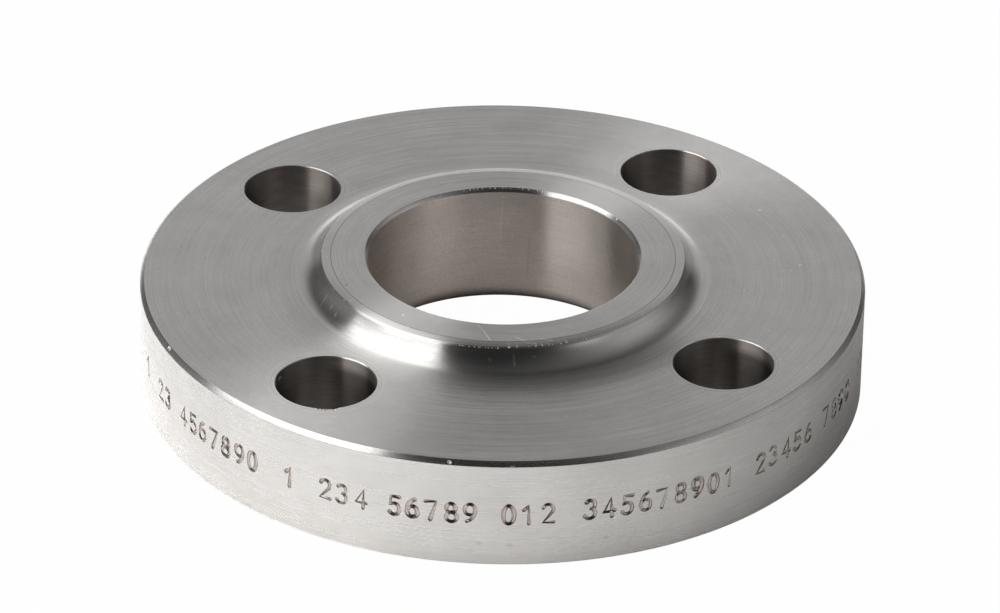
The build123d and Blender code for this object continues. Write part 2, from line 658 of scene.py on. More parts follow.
def cut_away(piece, cutter, overlapping):
    """Take a cutter away from a piece, for good."""
    modifier = piece.modifiers.new("cut", "BOOLEAN")
    modifier.operation = "DIFFERENCE"
    modifier.solver = "EXACT"
    modifier.use_self = overlapping
    modifier.material_mode = "INDEX"
    modifier.object = cutter
    cut = bpy.data.meshes.new_from_object(piece.evaluated_get(bpy.context.evaluated_depsgraph_get()))
    piece.modifiers.clear()
    old = piece.data
    piece.data = cut
    bpy.data.meshes.remove(old)
    cutter_mesh = cutter.data
    bpy.data.objects.remove(cutter)
    bpy.data.meshes.remove(cutter_mesh)


flange = piece_from(blank, "turned_flange")
cut_away(flange, piece_from(drills(), "drills"), overlapping=False)
cut_away(flange, piece_from(punches(), "punches"), overlapping=True)
cut_away(flange, piece_from(nicks(), "nicks"), overlapping=True)
print("drilled, stamped and nicked:", len(flange.data.polygons), "faces")

# %% [markdown]
# ## Smooth shading
# The steps of the spin should look round, the chamfers sharp and the flats flat. Faces
# are shaded smooth, and edges over a set angle are marked sharp. Next to a flat face
# or an upright wall a far smaller angle is enough, or the shading of a wide flat would
# lean towards its edges.

# %% Shade the piece
SHARP_ANGLE = math.radians(28)
SHARP_ANGLE_BY_FLATS = math.radians(5)
LEVEL_FROM = 0.99999
PLUMB_UP_TO = 0.0005


def lie_of(face):
    """Whether a face lies flat, stands upright or slopes."""
    if abs(face.normal.z) > LEVEL_FROM:
        return "flat"
    return "upright" if abs(face.normal.z) < PLUMB_UP_TO else "sloping"


def shade(piece):
    """Smooth shading with sharp edges where the surface turns. Gives the count of sharp edges."""
    bm = bmesh.new()
    bm.from_mesh(piece.data)
    for face in bm.faces:
        face.smooth = True
    for edge in bm.edges:
        if len(edge.link_faces) == 2:
            lies = {lie_of(face) for face in edge.link_faces}
            by_flat = len(lies) == 2 or lies == {"flat"}
            limit = SHARP_ANGLE_BY_FLATS if by_flat else SHARP_ANGLE
            edge.smooth = edge.calc_face_angle(0.0) < limit
    sharp = sum(not edge.smooth for edge in bm.edges)
    bm.to_mesh(piece.data)
    bm.free()
    return sharp


print("sharp edges:", shade(flange))
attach(flange, BODY)
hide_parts(NODE)

# %% [markdown]
# ## Helpers for node trees
# Each finish is a small tree of nodes. The first helper adds one node, and links or
# sets its inputs. The others do a sum with it, and hand back the socket that the next
# node needs.

# %% Add nodes and do sums
def add_node(tree, kind, inputs=None, **settings):
    """Add a shader node of a kind, give it its settings, and link or set each named input."""
    node = tree.nodes.new("ShaderNode" + kind)
    for name, value in settings.items():
        setattr(node, name, value)
    for name, value in (inputs or {}).items():
        if isinstance(value, bpy.types.NodeSocket):
            tree.links.new(value, node.inputs[name])
        else:
            node.inputs[name].default_value = value
    return node


def maths(tree, operation, *values):
    """The result of a Math node."""
    return add_node(tree, "Math", dict(enumerate(values)), operation=operation).outputs[0]


def product(tree, *values):
    """All the values multiplied."""
    result = values[0]
    for value in values[1:]:
        result = maths(tree, "MULTIPLY", result, value)
    return result


def spread(tree, value, low, high, new_low, new_high, how="LINEAR"):
    """Carry a value from one range to another, and hold it inside the new one."""
    node = add_node(tree, "MapRange", {
        "Value": value, "From Min": low, "From Max": high, "To Min": new_low, "To Max": new_high,
    }, interpolation_type=how)
    return node.outputs["Result"]


def ease(tree, value, low, high, new_low, new_high):
    """As spread, with a soft start and end."""
    return spread(tree, value, low, high, new_low, new_high, how="SMOOTHSTEP")


print("kinds of shader node:", sum(name.startswith("ShaderNode") for name in dir(bpy.types)))

# %% [markdown]
# ## Helpers for colours, directions and noise
# A few more are worth a name of their own. The dot product does most of the work in
# this lesson: it says how far a direction leans towards an axis.

# %% Mix, measure and make noise
def mix_colours(tree, amount, first, second, how="MIX"):
    """Blend two colours."""
    inputs = {"Factor": amount, 6: first, 7: second}
    return add_node(tree, "Mix", inputs, data_type="RGBA", blend_type=how).outputs[2]


def mix_shaders(tree, amount, first, second):
    """Blend two shader nodes: 0 is the first, and 1 the second."""
    return add_node(tree, "MixShader", {"Fac": amount, 1: first.outputs[0], 2: second.outputs[0]})


def vector_of(tree, x, y=0.0, z=0.0):
    """Three numbers as a vector."""
    return add_node(tree, "CombineXYZ", {0: x, 1: y, 2: z}).outputs[0]


def scaled(tree, vector, factor):
    """A vector made longer by a factor."""
    return add_node(tree, "VectorMath", {0: vector, "Scale": factor}, operation="SCALE").outputs[0]


def length(tree, vector):
    """How long a vector is."""
    return add_node(tree, "VectorMath", {0: vector}, operation="LENGTH").outputs["Value"]


def lean(tree, direction, axis):
    """The dot product with an axis: for a direction, 1 along the axis and 0 across it."""
    node = add_node(tree, "VectorMath", {0: direction, 1: axis}, operation="DOT_PRODUCT")
    return node.outputs["Value"]


def noise(tree, place, scale, detail=2.0, roughness=0.5):
    """Noise between about 0.2 and 0.8 at a place, with so many bumps in each of its units."""
    node = add_node(tree, "TexNoise", {
        "Vector": place, "Scale": scale, "Detail": detail, "Roughness": roughness,
    })
    return node.outputs["Fac"]


print("materials to build:", ", ".join(materials))

# %% [markdown]
# ## Coordinates of the lathe
# Turning marks run round the axis of the lathe. So each finish first works out, from
# Object coordinates in millimetres, how far a point is from the axis, how high it is
# and in which direction it lies. A stretched noise is quick across the marks and slow
# along them, so it never repeats as a pattern of perfect rings would. On a face the
# marks follow each other outwards and on a wall upwards, so the noise reads a sum of
# radius and height, which grows along both.

# %% Lathe coordinates and tool marks
SECTION_SLANT = 1.37


def lathe_place(tree, centre=None):
    """A point's coordinates in mm: x, y, z, its radius and its direction from the axis.
    With a centre, the four holes share one hole's coordinates."""
    place = add_node(tree, "TexCoord").outputs["Object"]
    in_mm = scaled(tree, place, 1 / MM)
    split = add_node(tree, "SeparateXYZ", {0: in_mm}).outputs
    x, y, z = split[0], split[1], split[2]
    if centre is not None:
        x = maths(tree, "SUBTRACT", maths(tree, "ABSOLUTE", x), centre)
        y = maths(tree, "SUBTRACT", maths(tree, "ABSOLUTE", y), centre)
    radius = maths(tree, "SQRT", maths(tree, "ADD", product(tree, x, x), product(tree, y, y)))
    return {
        "place": in_mm, "x": x, "y": y, "z": z, "radius": radius,
        "cos": maths(tree, "DIVIDE", x, radius), "sin": maths(tree, "DIVIDE", y, radius),
    }


def along_section(tree, lathe):
    """A distance that grows along every line of the turned section, flat or upright."""
    return maths(tree, "ADD", lathe["radius"], product(tree, lathe["z"], SECTION_SLANT))


def tool_marks(tree, lathe, across, marks_per_mm, wander, detail=2.0, roughness=0.55):
    """Noise in fine lines round the axis. Wander is how soon a line changes on its way round."""
    place = vector_of(
        tree,
        product(tree, across, marks_per_mm),
        product(tree, lathe["cos"], wander),
        product(tree, lathe["sin"], wander),
    )
    return noise(tree, place, 1.0, detail, roughness)


def across_marks(tree, lathe):
    """The direction on the surface that crosses the tool marks."""
    along = vector_of(tree, product(tree, lathe["sin"], -1.0), lathe["cos"])
    normal = add_node(tree, "NewGeometry").outputs["Normal"]
    crossed = add_node(tree, "VectorMath", {0: along, 1: normal}, operation="CROSS_PRODUCT")
    return add_node(tree, "VectorMath", {0: crossed.outputs[0]}, operation="NORMALIZE").outputs[0]


print("tool marks run round the axis of", flange.name)

# %% [markdown]
# ## Scratches and specks
# Single marks that are too fine to model are drawn in the finish. Each is a short
# straight line between two points on the surface, in mm. Most points are given as
# degrees round the bore, a radius and a height. A gain makes the steel lighter or
# darker there.

# %% Single marks of each zone
def at(azimuth, radius, height):
    """A point in mm from its direction round the bore, its radius and its height."""
    return (radius * math.cos(math.radians(azimuth)), radius * math.sin(math.radians(azimuth)), height)


def mark(start, end, width, gain):
    """A single mark from one point to another."""
    return {"start": start, "end": end, "width": width, "gain": gain}


HUB_FACE = HUB_TOP / MM
BOLTING_FACE = FLANGE_THICKNESS / MM
SCRATCHES = {
    "turned_face": [
        mark((-6.51, -22.13, HUB_FACE), (-5.77, -24.08, HUB_FACE), width=0.13, gain=1.3),
        mark((-5.77, -24.08, HUB_FACE), (-5.15, -26.96, HUB_FACE), width=0.15, gain=1.4),
        mark(at(268, 26.6, HUB_FACE), at(270.5, 27.6, HUB_FACE), width=0.3, gain=1.25),
        mark(at(271, 28.2, HUB_FACE), at(273.5, 28.6, HUB_FACE), width=0.35, gain=1.25),
        mark(at(276, 27.4, HUB_FACE), at(279.5, 28.4, HUB_FACE), width=0.22, gain=1.3),
        mark(at(196.0, 27.1, HUB_FACE), at(196.3, 27.2, HUB_FACE), width=0.25, gain=0.6),
        mark(at(205.6, 28.6, HUB_FACE), at(206.0, 28.8, HUB_FACE), width=0.25, gain=1.35),
        mark(at(224.5, 25.1, HUB_FACE), at(225.2, 25.6, HUB_FACE), width=0.25, gain=1.25),
        mark((44.5, 17.2, BOLTING_FACE), (44.8, 17.3, BOLTING_FACE), width=0.3, gain=1.3),
        mark((48.3, -1.6, BOLTING_FACE), (48.5, -1.4, BOLTING_FACE), width=0.3, gain=1.3),
    ],
    "hub_root": [
        mark(at(266.7, 30.0, 21.0), at(266.9, 31.2, 19.9), width=0.3, gain=1.8),
        mark(at(195.2, 30.3, 20.6), at(196.6, 31.6, 19.6), width=0.22, gain=1.6),
        mark(at(200.4, 30.6, 20.3), at(200.9, 30.9, 20.0), width=0.3, gain=1.5),
        mark(at(204.4, 31.0, 20.0), at(204.8, 31.3, 19.8), width=0.3, gain=1.8),
        mark(at(259.4, 30.4, 20.5), at(259.8, 30.5, 20.3), width=0.25, gain=3.0),
        mark(at(272.5, 30.2, 20.7), at(273.0, 30.2, 20.7), width=0.2, gain=2.5),
    ],
    "bore_wall": [
        mark(at(83.4, 21.85, 21.0), at(84.4, 21.85, 14.0), width=0.14, gain=1.12),
        mark(at(150.6, 21.85, 10.6), at(150.9, 21.85, 10.5), width=0.22, gain=0.45),
        mark(at(147.9, 21.85, 7.4), at(148.1, 21.85, 7.3), width=0.26, gain=0.4),
        mark(at(71.5, 21.85, 13.0), at(72.5, 21.85, 5.5), width=0.22, gain=0.9),
        mark(at(32.0, 21.85, 18.5), at(27.5, 21.85, 15.5), width=0.14, gain=1.2),
        mark(at(31.0, 21.85, 17.0), at(25.5, 21.85, 12.8), width=0.14, gain=1.2),
        mark(at(34.0, 21.85, 16.0), at(29.0, 21.85, 11.2), width=0.12, gain=1.15),
    ],
    "rim_band": [
        mark(at(259.9, 58.55, 4.1), at(260.2, 58.55, 4.0), width=0.5, gain=0.84),
        mark(at(264.5, 58.55, 3.85), at(264.9, 58.55, 3.8), width=0.5, gain=0.84),
        mark(at(279.3, 58.55, 4.1), at(279.6, 58.55, 4.0), width=0.45, gain=0.86),
        mark(at(294.6, 58.55, 10.9), at(295.5, 58.55, 10.4), width=0.7, gain=0.9),
    ],
}
print(sum(len(marks) for marks in SCRATCHES.values()), "scratches and specks")

# %% [markdown]
# ## Marks as nodes
# A node tree draws a line by its distance from each point on the surface. A sprinkle
# is many tiny specks at random places, and each zone can have its own.

# %% Draw marks in a node tree
LINE_CORE = 0.3
SPECK_CORE = 0.4
SPECKS_PER_MM = 0.33
SPECK_SIZE = 0.2


def line_mask(tree, place, start, end, width):
    """1 on a straight line between two points, and 0 from its width outwards."""
    start, along = Vector(start), Vector(end) - Vector(start)
    from_start = add_node(tree, "VectorMath", {0: place, 1: start}, operation="SUBTRACT").outputs[0]
    reach = lean(tree, from_start, along / along.length_squared)
    reach = maths(tree, "MINIMUM", maths(tree, "MAXIMUM", reach, 0.0), 1.0)
    nearest = scaled(tree, along, reach)
    apart = add_node(tree, "VectorMath", {0: from_start, 1: nearest}, operation="DISTANCE")
    return ease(tree, apart.outputs["Value"], width * LINE_CORE, width, 1.0, 0.0)


def scratch_gain(tree, place, scratches):
    """How much lighter or darker the single marks make the steel: 1 between them."""
    gain = 1.0
    for line in scratches:
        mask = line_mask(tree, place, line["start"], line["end"], line["width"])
        gain = maths(tree, "MULTIPLY_ADD", mask, line["gain"] - 1.0, gain)
    return gain


def sprinkle(tree, place):
    """1 in tiny specks, of which there is one in each cell, and 0 between them."""
    cells = add_node(tree, "TexVoronoi", {"Vector": place, "Scale": SPECKS_PER_MM, "Randomness": 1.0})
    reach = SPECK_SIZE * SPECKS_PER_MM
    return spread(tree, cells.outputs["Distance"], reach * SPECK_CORE, reach, 1.0, 0.0)


print("one speck in each", round(1 / SPECKS_PER_MM, 1), "mm")

# %% [markdown]
# ## The finish of each zone
# All zones are the same steel, and differ in how a tool left them. Each finish has
# a base colour, a roughness and a shallow bump, and the tool marks vary them: tint
# is how much they change the colour, gloss how much they change the roughness, and
# depth how high they are in mm. Wander is how soon a mark changes on its way round,
# grain is a fine mottling, and specks is how light or dark the tiny specks are. The
# drilled holes and the foot of each stamped figure are browner, because little light
# gets in there and what does has bounced off steel more than once.

# %% Describe each zone
FINISHES = {
    "turned_face": {
        "colour": (0.60, 0.585, 0.57), "roughness": 0.24, "anisotropy": 0.95,
        "marks_per_mm": 5.0, "wander": 2.5, "tint": 0.05, "gloss": 0.03, "depth": 0.0007, "specks": 1.35,
    },
    "rim_band": {
        "colour": (0.583, 0.568, 0.549), "roughness": 0.28, "anisotropy": 0.9,
        "marks_per_mm": 2.2, "wander": 1.8, "tint": 0.018, "gloss": 0.012, "depth": 0.0001, "specks": 0.88,
        "grain": 0.006,
    },
    "bore_wall": {
        "colour": (0.66, 0.605, 0.56), "roughness": 0.38, "anisotropy": 1.0,
        "marks_per_mm": 3.2, "wander": 3.0, "tint": 0.05, "gloss": 0.04, "depth": 0.0006, "specks": 0.7,
        "grain": 0.09,
    },
    "cut_edge": {
        "colour": (0.66, 0.645, 0.63), "roughness": 0.25, "anisotropy": 0.8,
        "marks_per_mm": 6.0, "wander": 3.0, "tint": 0.05, "gloss": 0.03, "depth": 0.0005,
        "grain": 0.1,
    },
    "hub_root": {
        "colour": (0.62, 0.605, 0.59), "roughness": 0.22, "anisotropy": 0.85,
        "marks_per_mm": 5.0, "wander": 2.5, "tint": 0.05, "gloss": 0.03, "depth": 0.0006,
    },
    "drilled_hole": {
        "colour": (0.44, 0.395, 0.365), "roughness": 0.45, "anisotropy": 1.0,
        "marks_per_mm": 2.5, "wander": 2.0, "tint": 0.1, "gloss": 0.05, "depth": 0.0015, "grain": 0.06,
    },
    "stamped_mark": {
        "colour": (0.4, 0.355, 0.325), "roughness": 0.2, "anisotropy": 0.0,
        "marks_per_mm": 4.0, "wander": 4.0, "tint": 0.15, "gloss": 0.05, "depth": 0.001,
    },
    "fresh_nick": {
        "colour": (0.74, 0.73, 0.715), "roughness": 0.36, "anisotropy": 0.0,
        "marks_per_mm": 4.0, "wander": 4.0, "tint": 0.1, "gloss": 0.05, "depth": 0.001,
    },
}
print(len(FINISHES), "finishes")

# %% [markdown]
# ## Lighter and darker places on the face
# Some places on the flange are lighter or darker than their zone. A countersink
# left fine rings round each bolt hole, and a thin line was scribed where the hub's
# bevel starts. The foot of the hub's root is darker, most so at the front, and the face
# is a little lighter at the back than at the front: both are painted shade. Each is a
# function that gives a factor for the colour, and the factor is 1 where it changes nothing.

# %% Shade places on the face
RINGS_PER_MM = 3.4
RINGS_CONTRAST = (0.35, 0.65)
RINGS_REACH = (8.3, 10.8)
RINGS_STRENGTH = 0.11
# Painted shade at the foot of the hub's root, and across the face below.
ROOT_HUB_SIDE = (31.5, 33.5)
ROOT_FACE_SIDE = (34.5, 41.0)
ROOT_FRONT = math.radians(283)
ROOT_FRONT_REACH = (0.74, 0.96)
ROOT_FRONT_SHADE = 0.42
ROOT_BACK_REACH = (0.2, 0.9)
ROOT_BACK_SHADE = (0.04, 0.17)
SCRIBED_RADIUS = (HUB_RADIUS - HUB_EDGE_BREAK - HUB_BEVEL_WIDTH) / MM + 0.05
SCRIBED_WIDTHS = (0.03, 0.11)
SCRIBED_SHADE = 0.55
FACE_REACH = (-55.0, 55.0)
FACE_PAINTED_SHADES = (0.94, 1.06)


def hole_rings(tree, lathe):
    """Fine rings that the countersink left on the face round each bolt hole: 1 between them."""
    across = [
        maths(tree, "SUBTRACT", maths(tree, "ABSOLUTE", lathe[axis]), HOLE_OFFSET_MM) for axis in ("x", "y")
    ]
    away = length(tree, vector_of(tree, across[0], across[1]))
    rings = spread(tree, noise(tree, vector_of(tree, away), RINGS_PER_MM, 1.0), *RINGS_CONTRAST, -1.0, 1.0)
    reach = ease(tree, away, *RINGS_REACH, 1.0, 0.0)
    return maths(tree, "MULTIPLY_ADD", product(tree, rings, reach), RINGS_STRENGTH, 1.0)


def painted_root_shade(tree, lathe):
    """Painted shade: the foot of the hub's root is darker, and most so at the front: 1 elsewhere."""
    hub_side = ease(tree, lathe["radius"], *ROOT_HUB_SIDE, 1.0, 0.0)
    face_side = ease(tree, lathe["radius"], *ROOT_FACE_SIDE, 0.0, 1.0)
    ring = maths(tree, "SUBTRACT", 1.0, maths(tree, "ADD", hub_side, face_side))
    sideways = product(tree, lathe["cos"], math.cos(ROOT_FRONT))
    toward = maths(tree, "MULTIPLY_ADD", lathe["sin"], math.sin(ROOT_FRONT), sideways)
    front = ease(tree, toward, *ROOT_FRONT_REACH, 0.0, ROOT_FRONT_SHADE)
    back = ease(tree, lathe["sin"], *ROOT_BACK_REACH, *ROOT_BACK_SHADE)
    return maths(tree, "SUBTRACT", 1.0, product(tree, ring, maths(tree, "ADD", front, back)))


def scribed_line(tree, lathe):
    """A thin dark line round the hub, where its bevel starts: 1 beside it."""
    apart = maths(tree, "ABSOLUTE", maths(tree, "SUBTRACT", lathe["radius"], SCRIBED_RADIUS))
    return spread(tree, apart, *SCRIBED_WIDTHS, SCRIBED_SHADE, 1.0)


def painted_face_shade(tree, lathe):
    """Painted shade: the face is a little lighter at the back than at the front."""
    return spread(tree, lathe["y"], *FACE_REACH, *FACE_PAINTED_SHADES)


print("the scribed line is at radius", round(SCRIBED_RADIUS, 2), "mm")

# %% [markdown]
# ## Darker places in the bore and the holes
# Deep corners see little of the studio, so their colour is darkened here, which is
# painted shade. The corner radius at the foot of the bore stands in the flange's own
# shadow. The wall of each bolt hole is dark on the left, where it turns away from the
# lamp, and in the front holes deep down on the right.

# %% Shade the bore and the holes
# Painted shade in the bolt holes and in the bore's corner radius.
LEFT_WALL = (-1.0, 4.0)
LEFT_SHADE = 0.62
RIGHT_WALL = (0.0, 3.5)
RIGHT_SHADE = 0.7
FRONT_HOLES = (10.0, -10.0)
DEEP_DOWN = (17.6, 15.6)
CORNER_HEIGHTS = (0.6, 4.2)
CORNER_SHADE = 0.08


def painted_hole_shade(tree, lathe):
    """Painted shade: the left half of each hole's wall is darker, and so is the far right of the two
    front holes, deep down: 1 elsewhere."""
    split = add_node(tree, "SeparateXYZ", {0: lathe["place"]}).outputs
    side = product(tree, maths(tree, "SIGN", split[0]), HOLE_OFFSET_MM)
    across = maths(tree, "SUBTRACT", split[0], side)
    left = ease(tree, across, *LEFT_WALL, LEFT_SHADE, 1.0)
    right = ease(tree, across, *RIGHT_WALL, 0.0, 1.0)
    front = spread(tree, split[1], *FRONT_HOLES, 0.0, 1.0)
    deep = ease(tree, split[2], *DEEP_DOWN, 0.0, 1.0)
    corner = maths(tree, "SUBTRACT", 1.0, product(tree, right, front, deep, RIGHT_SHADE))
    return product(tree, left, corner)


def painted_corner_shade(tree, lathe):
    """Painted shade: the corner radius at the foot of the bore is dark: 1 above it."""
    return ease(tree, lathe["z"], *CORNER_HEIGHTS, CORNER_SHADE, 1.0)


# The rings and the scribed line are marks of the steel; the other factors are painted shade.
EXTRA_SHADES = {
    "turned_face": [hole_rings, painted_root_shade, scribed_line, painted_face_shade],
    "hub_root": [painted_root_shade],
    "bore_wall": [painted_corner_shade],
    "drilled_hole": [painted_hole_shade],
}
print(sum(len(shades) for shades in EXTRA_SHADES.values()), "shades")

# %% [markdown]
# ## Build the finishes
# The fine grooves spread a reflection across themselves, and that is what anisotropy
# does. Its tangent is the direction across the grooves, so a lamp makes a broad
# bow-tie of light on a turned face.

# %% Make the materials
CLOUDS_PER_MM = 0.11
CLOUD_GAINS = (0.94, 1.04)
GRAINS_PER_MM = 3.3
NOISE_RANGE = (0.3, 0.7)
BUMP_GAIN = 4


def finish_steel(material, colour, roughness, anisotropy, marks_per_mm, wander, tint, gloss, depth,
                 grain=0.05, specks=1.0, hole_centre=None, scratches=(), shades=()):
    """Build one zone's finish in its material."""
    material.use_nodes = True
    tree = material.node_tree
    tree.nodes.clear()
    lathe = lathe_place(tree, hole_centre)
    across = along_section(tree, lathe)
    marks = tool_marks(tree, lathe, across, marks_per_mm, wander)
    cloud = noise(tree, lathe["place"], CLOUDS_PER_MM, 3.0, 0.55)
    fine = noise(tree, lathe["place"], GRAINS_PER_MM, 2.0, 0.6)

    shade_low = tuple(c * (1 - tint) for c in colour) + (1.0,)
    shade_high = tuple(min(1.0, c * (1 + tint)) for c in colour) + (1.0,)
    base = mix_colours(tree, spread(tree, marks, *NOISE_RANGE, 0.0, 1.0), shade_low, shade_high)
    clouds = spread(tree, cloud, *NOISE_RANGE, *CLOUD_GAINS)
    gain = product(tree, clouds, spread(tree, fine, *NOISE_RANGE, 1.0 - grain, 1.0 + grain))
    for shade_of in shades:
        gain = product(tree, gain, shade_of(tree, lathe))
    if scratches:
        gain = product(tree, gain, scratch_gain(tree, lathe["place"], scratches))
    if specks != 1.0:
        mask = sprinkle(tree, lathe["place"])
        gain = product(tree, gain, maths(tree, "MULTIPLY_ADD", mask, specks - 1.0, 1.0))
    base = mix_colours(tree, 1.0, base, gain, how="MULTIPLY")
    rough = spread(tree, marks, *NOISE_RANGE, roughness + gloss, roughness - gloss)
    distance = depth * MM * BUMP_GAIN
    bump = add_node(tree, "Bump", {"Height": marks, "Distance": distance, "Strength": 1.0})

    shader = add_node(tree, "BsdfPrincipled", {
        "Base Color": base, "Metallic": 1.0, "Roughness": rough,
        "Anisotropic": anisotropy, "Normal": bump.outputs[0],
    })
    if anisotropy > 0:
        tree.links.new(across_marks(tree, lathe), shader.inputs["Tangent"])
    add_node(tree, "OutputMaterial", {"Surface": shader.outputs[0]})


for zone, finish in FINISHES.items():
    finish_steel(
        materials[zone], **finish, hole_centre=HOLE_OFFSET_MM if zone == "drilled_hole" else None,
        scratches=SCRATCHES.get(zone, ()), shades=EXTRA_SHADES.get(zone, ()),
    )
    print(zone, "has", len(materials[zone].node_tree.nodes), "nodes")

# %% [markdown]
# ## Compass bearings
# The studio is easiest to describe as seen from the camera: 0 degrees is to the
# right, 90 is behind the flange, 180 is to the left. The helper below turns such a
# bearing and a height in degrees into a direction in the flange's own frame.

# %% Directions in the studio
def direction_to(bearing, height=0.0):
    """The unit vector that points to a bearing and a height, both in degrees."""
    turn = Matrix.Rotation(VIEW_TURN, 3, "Z")
    around, up = math.radians(bearing), math.radians(height)
    return turn @ Vector((math.cos(around) * math.cos(up), math.sin(around) * math.cos(up), math.sin(up)))


def past(tree, direction, axis, limit, softness):
    """1 where a direction leans to an axis by more than a limit, 0 short of it, soft between."""
    return ease(tree, lean(tree, direction, axis), limit - softness, limit + softness, 0.0, 1.0)


print("camera looks from", [round(v, 2) for v in direction_to(-90, 30)])

# %% [markdown]
# ## The floor
# The photograph was taken on white paper. The floor here is a wide sheet that lies a
# hair below the mating face, so that the two don't flicker into each other.

# %% Lay the floor
FLOOR_SIZE = 6.0
FLOOR_GAP = 0.02 * MM


def wide_floor():
    """A wide sheet under the flange, with a material that is still empty."""
    bm = bmesh.new()
    bmesh.ops.create_grid(bm, x_segments=8, y_segments=8, size=FLOOR_SIZE / 2)
    bmesh.ops.translate(bm, verts=bm.verts, vec=(0, 0, -FLOOR_GAP))
    mesh = bpy.data.meshes.new("floor")
    bm.to_mesh(mesh)
    bm.free()
    mesh.materials.append(bpy.data.materials.new("white_floor"))
    floor = bpy.data.objects.new("floor", mesh)
    bpy.context.scene.collection.objects.link(floor)
    return floor


floor = wide_floor()
print("the floor is", FLOOR_SIZE, "m wide")

# %% [markdown]
# ## What the steel mirrors of the floor
# The rim mirrors the floor, and in the photograph it runs from nearly white on the
# left to dark on the right. So in reflections the floor is brighter on the left,
# where the lamp stands, and dim round the foot of the flange, which the flange
# shades. The bore mirrors the disc of floor that it stands round. Paint alone can't
# do this, because the camera has to see one even white, so the gain below counts in
# reflections only.

# %% Set how bright the floor is in reflections
LAMP_SIDE_GAIN = 2.05
DIM_BEARING = 20.0
DIM_END = 75 * MM
BRIGHT_END = -55 * MM
LIT_RADIUS = 90 * MM
DARK_RADIUS = 260 * MM
FAR_GAIN = 0.25
BORE_GAIN = 0.96
UNDER_GAIN = 0.4
UNDER_INNER = (22 * MM, 28 * MM)
UNDER_OUTER = (50 * MM, 62 * MM)


def floor_gain(tree, across, distance):
    """How bright the floor is in reflections, where 1 is as bright as its paint."""
    lamp_side = spread(tree, across, DIM_END, BRIGHT_END, 0.0, LAMP_SIDE_GAIN)
    near = ease(tree, distance, DARK_RADIUS, LIT_RADIUS, 0.0, 1.0)
    near_gain = maths(tree, "ADD", lamp_side, 1.0 - FAR_GAIN)
    open_floor = maths(tree, "ADD", product(tree, near, near_gain), FAR_GAIN)
    in_bore = ease(tree, distance, *UNDER_INNER, BORE_GAIN, UNDER_GAIN)
    outside = ease(tree, distance, *UNDER_OUTER, UNDER_GAIN, 1.0)
    return product(tree, open_floor, maths(tree, "MAXIMUM", in_bore, outside))


print("at the lamp's side the floor is", round(1 + LAMP_SIDE_GAIN, 2), "times as bright as its paint")

# %% [markdown]
# ## Paint the floor
# The floor is white paint that keeps the flange's shadow. To the camera it glows
# until it is nearly white, as the paper in the photograph is. From below it can be
# looked through, and the strip under the mating face glows softly, so that this face
# is lit as well.

# %% Build the floor's material
FLOOR_WHITE = 0.86
CAMERA_GLOW = 0.985
MATING_INNER = (26.5 * MM, 27.5 * MM)
MATING_OUTER = (57 * MM, 57.8 * MM)
MATING_GLOW = (0.62, 0.3)


def mating_strip(tree, across, distance):
    """The strength of the soft glow under the mating face: 0 beside it."""
    outward = spread(tree, distance, *MATING_INNER, 0.0, 1.0)
    inward = spread(tree, distance, *MATING_OUTER, 1.0, 0.0)
    return product(tree, outward, inward, spread(tree, across, BRIGHT_END, DIM_END, *MATING_GLOW))


def paint_floor(material):
    """White paint, with what the floor adds for the camera and for reflections."""
    material.use_nodes = True
    tree = material.node_tree
    tree.nodes.clear()
    rays = add_node(tree, "LightPath").outputs
    to_camera = rays["Is Camera Ray"]
    place = add_node(tree, "TexCoord").outputs["Object"]
    across = lean(tree, place, direction_to(DIM_BEARING))
    distance = length(tree, place)

    mirrored = maths(tree, "ADD", rays["Is Glossy Ray"], rays["Is Transmission Ray"])
    more = maths(tree, "SUBTRACT", floor_gain(tree, across, distance), 1.0)
    gain = maths(tree, "MULTIPLY_ADD", mirrored, more, 1.0)
    paint = add_node(tree, "BsdfDiffuse", {"Color": product(tree, gain, FLOOR_WHITE)})
    glow = add_node(tree, "Emission", {"Color": (1, 1, 1, 1), "Strength": 1.0})
    paper = mix_shaders(tree, product(tree, to_camera, CAMERA_GLOW), paint, glow)

    unseen = maths(tree, "SUBTRACT", 1.0, to_camera)
    strip_light = product(tree, mating_strip(tree, across, distance), unseen)
    strip = add_node(tree, "Emission", {"Strength": strip_light})
    lit = add_node(tree, "AddShader", {0: paper.outputs[0], 1: strip.outputs[0]})

    clear = add_node(tree, "BsdfTransparent")
    below = add_node(tree, "NewGeometry").outputs["Backfacing"]
    surface = mix_shaders(tree, product(tree, below, to_camera), lit, clear)
    add_node(tree, "OutputMaterial", {"Surface": surface.outputs[0]})


paint_floor(floor.data.materials[0])
print("floor paint:", len(floor.data.materials[0].node_tree.nodes), "nodes")

# %% [markdown]
# ## The softbox
# Turned steel shows its studio. A groove spreads a reflection across itself, so each
# radius of the face sees one arc of the studio, which starts at the mirrored
# direction of the camera. The photograph's face has two bright sectors with crisp
# borders, so a large softbox on the left must lie between two such arcs. It is drawn
# as a function of direction, bounded by those two arcs and a lower and a right edge.
# Its foot grows brighter towards the camera, which puts the glint on the left front
# of the hub's root, and stays soft where the face would mirror it for someone who
# stands on the right. Heights below are sines, as a direction's Z is.

# %% Draw the softbox
SECTOR_START = 38.5
SECTOR_END = 71.0
SECTOR_SOFTNESS = 0.02
SOFTBOX_FOOT = 14.0
FOOT_SOFTNESS = 0.03
SOFTBOX_SIDE = 0.12
SIDE_SOFTNESS = 0.05
SOFTBOX_FOOT_LIGHT = 1.4
SOFTBOX_FRONT_FOOT_LIGHT = 4.8
SOFTBOX_MIDDLE_LIGHT = 1.1
SOFTBOX_TOP_LIGHT = 1.9
FORWARD_RANGE = (0.1, 0.4)
FOOT_RANGE = (0.30, 0.42)
TOP_RANGE = (0.45, 0.7)


